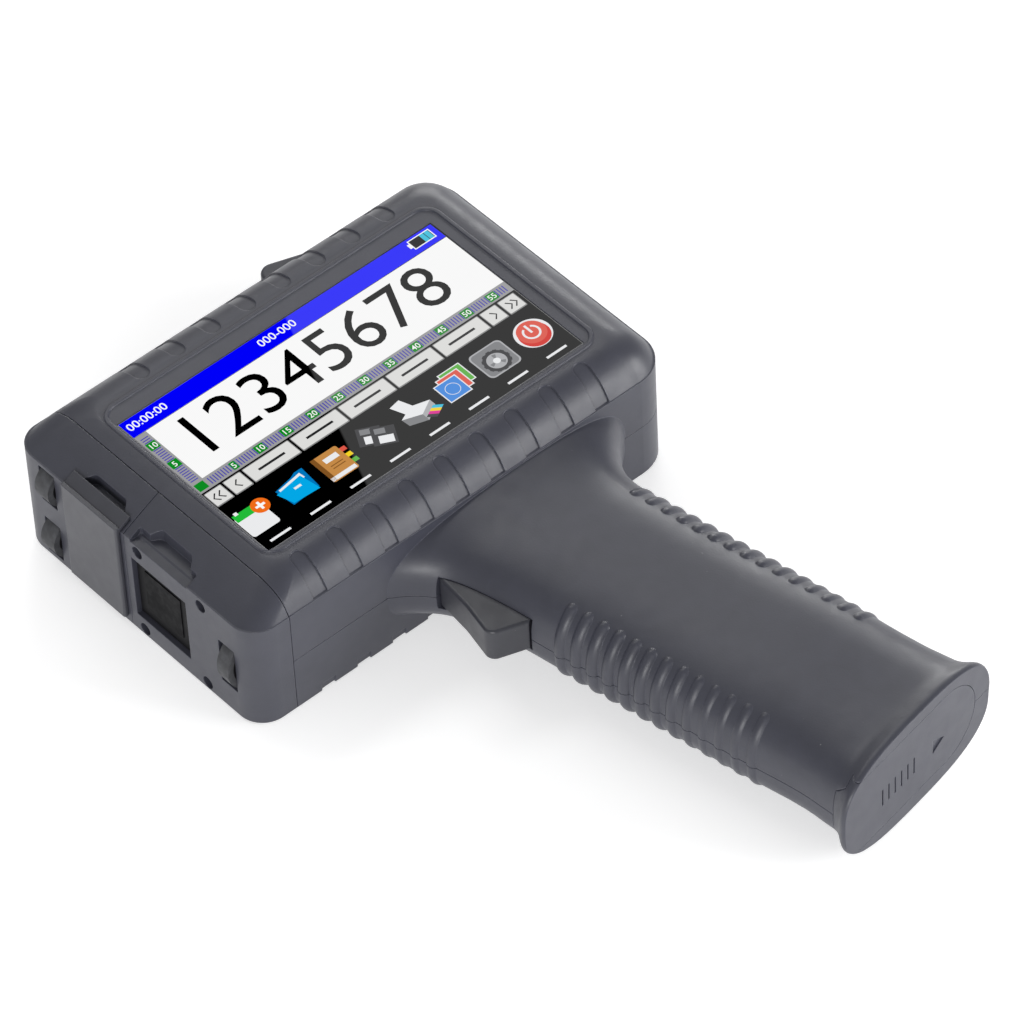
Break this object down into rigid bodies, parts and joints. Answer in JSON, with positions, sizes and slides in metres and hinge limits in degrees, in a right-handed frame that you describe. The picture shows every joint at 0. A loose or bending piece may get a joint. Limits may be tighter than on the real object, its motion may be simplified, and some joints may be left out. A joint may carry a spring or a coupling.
{
  "type": "date code inkjet printer",
  "caption": "Pistol-grip hand-held inkjet date coder lying on its back: touch screen, print window, guide rollers, trigger and battery grip.",
  "frame": {"origin": "on the flat back, under the middle of the display", "axes": "+Z out of the screen, +X right along the screen with the print end at -X, -Y down the grip"},
  "size_m": [0.13, 0.218, 0.0389],
  "materials": {
    "housing": "fine textured charcoal ABS",
    "trigger": "charcoal ABS, smoother",
    "cover": "charcoal ABS",
    "rubber": "dark rubber",
    "glass": "clear cover glass",
    "display": "display module",
    "foam": "foam strip",
    "circuit_board": "green solder mask",
    "chips": "black epoxy",
    "black_plastic": "black moulding",
    "steel": "plated steel",
    "nickel": "nickel plate",
    "brass": "gold plated contact",
    "nozzle": "dark nozzle foil",
    "cable": "polyimide film",
    "cell_wrap": "shrink wrap",
    "disc": "film disc"
  },
  "bodies": {
    "housing": {"battery_bulkhead": "housing", "battery_cells": "cell_wrap", "battery_contacts": "nickel", "board_chips": "chips", "board_screws": "steel", "bottom_shell": "housing", "buzzer": "chips", "cartridge_cradle": "black_plastic", "contact_board": "circuit_board", "contact_pins": "brass", "display_foam": "foam", "door_pin": "steel", "encoder_roller_axle": "steel", "encoder_sensor": "chips", "far_end_cap": "housing", "housing_screws": "steel", "ink_cartridge": "black_plastic", "latch_pin": "steel", "lcd_panel": "display", "lower_roller_axle": "steel", "main_board": "circuit_board", "near_end_cap": "housing", "nozzle_plate": "nozzle", "power_jack": "black_plastic", "ribbon_cable": "cable", "screen_glass": "glass", "switch_bracket": "housing", "top_shell": "housing", "trigger_pin": "steel", "trigger_spring": "steel", "trigger_switch": "black_plastic", "upper_roller_axle": "steel", "usb_port": "steel"},
    "trigger": {"trigger": "trigger"},
    "nozzle_cover": {"nozzle_cover": "cover", "cover_seal": "rubber"},
    "upper_roller": {"upper_roller_tyre": "rubber", "upper_roller_hub": "black_plastic"},
    "lower_roller": {"lower_roller_tyre": "rubber", "lower_roller_hub": "black_plastic"},
    "encoder_roller": {"encoder_roller_tyre": "rubber", "encoder_roller_hub": "black_plastic", "encoder_disc": "disc"},
    "battery_lid": {"battery_lid": "housing", "lid_contact": "nickel"},
    "cartridge_door": {"cartridge_door": "housing"},
    "cartridge_latch": {"cartridge_latch": "housing"}
  },
  "joints": [
    {"name": "trigger_pull", "type": "hinge", "parent": "housing", "child": "trigger", "pos_m": [-0.00997, -0.04999, 0.0161], "axis": [0, 0, 1], "range_deg": [0, 7], "stiffness_Nm_per_rad": 0.6, "springref_deg": -8.59},
    {"name": "cover_lift", "type": "slide", "parent": "housing", "child": "nozzle_cover", "axis": [0, 0, 1], "range_m": [0, 0.032]},
    {"name": "upper_roller_spin", "type": "hinge", "parent": "housing", "child": "upper_roller", "pos_m": [-0.0607, 0.03355, 0.0246], "axis": [0, 1, 0], "continuous": true},
    {"name": "lower_roller_spin", "type": "hinge", "parent": "housing", "child": "lower_roller", "pos_m": [-0.0607, 0.03355, 0.0074], "axis": [0, 1, 0], "continuous": true},
    {"name": "encoder_roller_spin", "type": "hinge", "parent": "housing", "child": "encoder_roller", "pos_m": [-0.058, -0.03045, 0.0152], "axis": [0, 1, 0], "continuous": true},
    {"name": "lid_slide", "type": "slide", "parent": "housing", "child": "battery_lid", "axis": [-0.9848, -0.1736, 0], "range_m": [0, 0.028]},
    {"name": "door_swing", "type": "hinge", "parent": "housing", "child": "cartridge_door", "pos_m": [-0.0486, 0.04485, 0.0165], "axis": [0, 0, 1], "range_deg": [0, 100]},
    {"name": "latch_swing", "type": "hinge", "parent": "housing", "child": "cartridge_latch", "pos_m": [0.04, 0.0432, 0.019], "axis": [0, 0, -1], "range_deg": [0, 30]}
  ]
}
